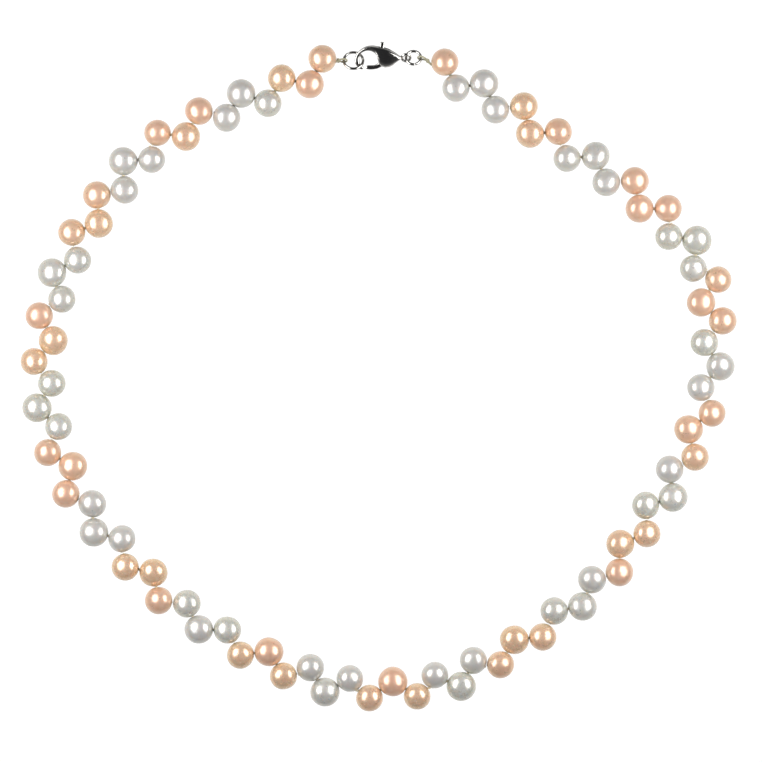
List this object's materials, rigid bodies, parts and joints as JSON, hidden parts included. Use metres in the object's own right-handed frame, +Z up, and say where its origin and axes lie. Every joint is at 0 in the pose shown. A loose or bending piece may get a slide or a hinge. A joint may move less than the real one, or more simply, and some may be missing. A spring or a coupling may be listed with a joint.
{
  "type": "pearl necklace",
  "caption": "Necklace of round button pearls strung off centre in a zigzag, peach and white by threes, with two jump rings and a lobster clasp at the back.",
  "frame": {"origin": "centre of the bounding box on the surface that the necklace lies on", "axes": "+Z up off that surface, +Y towards the clasp at the back of the neck, +X towards the wearer's left"},
  "size_m": [0.163, 0.1525, 0.0056],
  "materials": {
    "peach_nacre": "satin lustre",
    "white_nacre": "satin lustre",
    "silk_thread": "twisted silk",
    "plated_metal": "polished",
    "spring_steel": "drawn wire"
  },
  "bodies": {
    "front": {"thread_front": "silk_thread", "white_pearls_14": "white_nacre", "peach_pearls_15": "peach_nacre", "white_pearls_16": "white_nacre"},
    "band_01": {"thread_left_01": "silk_thread", "thread_right_01": "silk_thread", "peach_pearls_13": "peach_nacre", "peach_pearls_17": "peach_nacre"},
    "band_02": {"thread_left_02": "silk_thread", "thread_right_02": "silk_thread", "white_pearls_12": "white_nacre", "white_pearls_18": "white_nacre"},
    "band_03": {"thread_left_03": "silk_thread", "thread_right_03": "silk_thread", "peach_pearls_11": "peach_nacre", "peach_pearls_19": "peach_nacre"},
    "band_04": {"thread_left_04": "silk_thread", "thread_right_04": "silk_thread", "white_pearls_10": "white_nacre", "white_pearls_20": "white_nacre"},
    "band_05": {"thread_left_05": "silk_thread", "thread_right_05": "silk_thread", "peach_pearls_09": "peach_nacre", "peach_pearls_21": "peach_nacre"},
    "band_06": {"thread_left_06": "silk_thread", "thread_right_06": "silk_thread", "white_pearls_08": "white_nacre", "white_pearls_22": "white_nacre"},
    "band_07": {"thread_left_07": "silk_thread", "thread_right_07": "silk_thread", "peach_pearls_07": "peach_nacre", "peach_pearls_23": "peach_nacre"},
    "band_08": {"thread_left_08": "silk_thread", "thread_right_08": "silk_thread", "white_pearls_06": "white_nacre", "white_pearls_24": "white_nacre"},
    "band_09": {"thread_left_09": "silk_thread", "thread_right_09": "silk_thread", "peach_pearls_05": "peach_nacre", "peach_pearls_25": "peach_nacre"},
    "band_10": {"thread_left_10": "silk_thread", "thread_right_10": "silk_thread", "white_pearls_04": "white_nacre", "white_pearls_26": "white_nacre"},
    "band_11": {"thread_left_11": "silk_thread", "thread_right_11": "silk_thread", "peach_pearls_03": "peach_nacre", "peach_pearls_27": "peach_nacre"},
    "back": {"thread_left_end": "silk_thread", "thread_right_end": "silk_thread", "peach_pearls_01": "peach_nacre", "white_pearls_02": "white_nacre", "white_pearls_28": "white_nacre", "peach_pearls_29": "peach_nacre"},
    "clasp": {"clasp_body": "plated_metal", "clasp_pin": "spring_steel", "clasp_spring": "spring_steel"},
    "lever": {"clasp_lever": "plated_metal"},
    "left_ring": {"left_jump_ring": "plated_metal"},
    "right_ring": {"right_jump_ring": "plated_metal"}
  },
  "joints": [
    {"name": "fold_01", "type": "hinge", "parent": "front", "child": "band_01", "pos_m": [0.0031, -0.06685, 0.0028], "axis": [0.999, 0.0441, 0], "range_deg": [-24, 24]},
    {"name": "fold_02", "type": "hinge", "parent": "band_01", "child": "band_02", "pos_m": [0.00295, -0.0585, 0.0028], "axis": [0.9983, 0.0582, 0], "range_deg": [-24, 24]},
    {"name": "fold_03", "type": "hinge", "parent": "band_02", "child": "band_03", "pos_m": [0.0025, -0.04865, 0.0028], "axis": [0.9982, 0.0596, 0], "range_deg": [-24, 24]},
    {"name": "fold_04", "type": "hinge", "parent": "band_03", "child": "band_04", "pos_m": [0.0015, -0.0363, 0.0028], "axis": [0.998, 0.0634, 0], "range_deg": [-24, 24]},
    {"name": "fold_05", "type": "hinge", "parent": "band_04", "child": "band_05", "pos_m": [0.00055, -0.02415, 0.0028], "axis": [0.9983, 0.0586, 0], "range_deg": [-24, 24]},
    {"name": "fold_06", "type": "hinge", "parent": "band_05", "child": "band_06", "pos_m": [0.00035, -0.0096, 0.0028], "axis": [0.9982, 0.0599, 0], "range_deg": [-24, 24]},
    {"name": "fold_07", "type": "hinge", "parent": "band_06", "child": "band_07", "pos_m": [-0.0002, 0.00545, 0.0028], "axis": [0.9981, 0.0618, 0], "range_deg": [-24, 24]},
    {"name": "fold_08", "type": "hinge", "parent": "band_07", "child": "band_08", "pos_m": [-0.00005, 0.0203, 0.0028], "axis": [0.9986, 0.0532, 0], "range_deg": [-24, 24]},
    {"name": "fold_09", "type": "hinge", "parent": "band_08", "child": "band_09", "pos_m": [-0.00155, 0.03245, 0.0028], "axis": [0.9992, 0.0403, 0], "range_deg": [-24, 24]},
    {"name": "fold_10", "type": "hinge", "parent": "band_09", "child": "band_10", "pos_m": [-0.00295, 0.0436, 0.0028], "axis": [0.9998, 0.0189, 0], "range_deg": [-24, 24]},
    {"name": "fold_11", "type": "hinge", "parent": "band_10", "child": "band_11", "pos_m": [-0.005, 0.0528, 0.0028], "axis": [1, 0, 0], "range_deg": [-24, 24]},
    {"name": "fold_12", "type": "hinge", "parent": "band_11", "child": "back", "pos_m": [-0.0039, 0.06085, 0.0028], "axis": [0.9998, 0.0192, 0], "range_deg": [-24, 24]},
    {"name": "clasp_roll", "type": "hinge", "parent": "back", "child": "clasp", "pos_m": [-0.0079, 0.07222, 0.0018], "axis": [0.9994, 0.0352, 0.0039], "range_deg": [-16, 20]},
    {"name": "lever_open", "type": "hinge", "parent": "clasp", "child": "lever", "pos_m": [0.00175, 0.07207, 0.00165], "axis": [0, 0.2756, -0.9613], "range_deg": [0, 24], "stiffness_Nm_per_rad": 0.002, "springref_deg": -17.19, "deforming": ["clasp_spring"]},
    {"name": "left_ring_turn", "type": "hinge", "parent": "clasp", "child": "left_ring", "pos_m": [-0.0057, 0.07222, 0.0018], "axis": [0, 0.4723, 0.8814], "continuous": true},
    {"name": "right_ring_turn", "type": "hinge", "parent": "clasp", "child": "right_ring", "pos_m": [0.008, 0.07284, 0.00187], "axis": [0, 0.4067, 0.9135], "continuous": true}
  ]
}
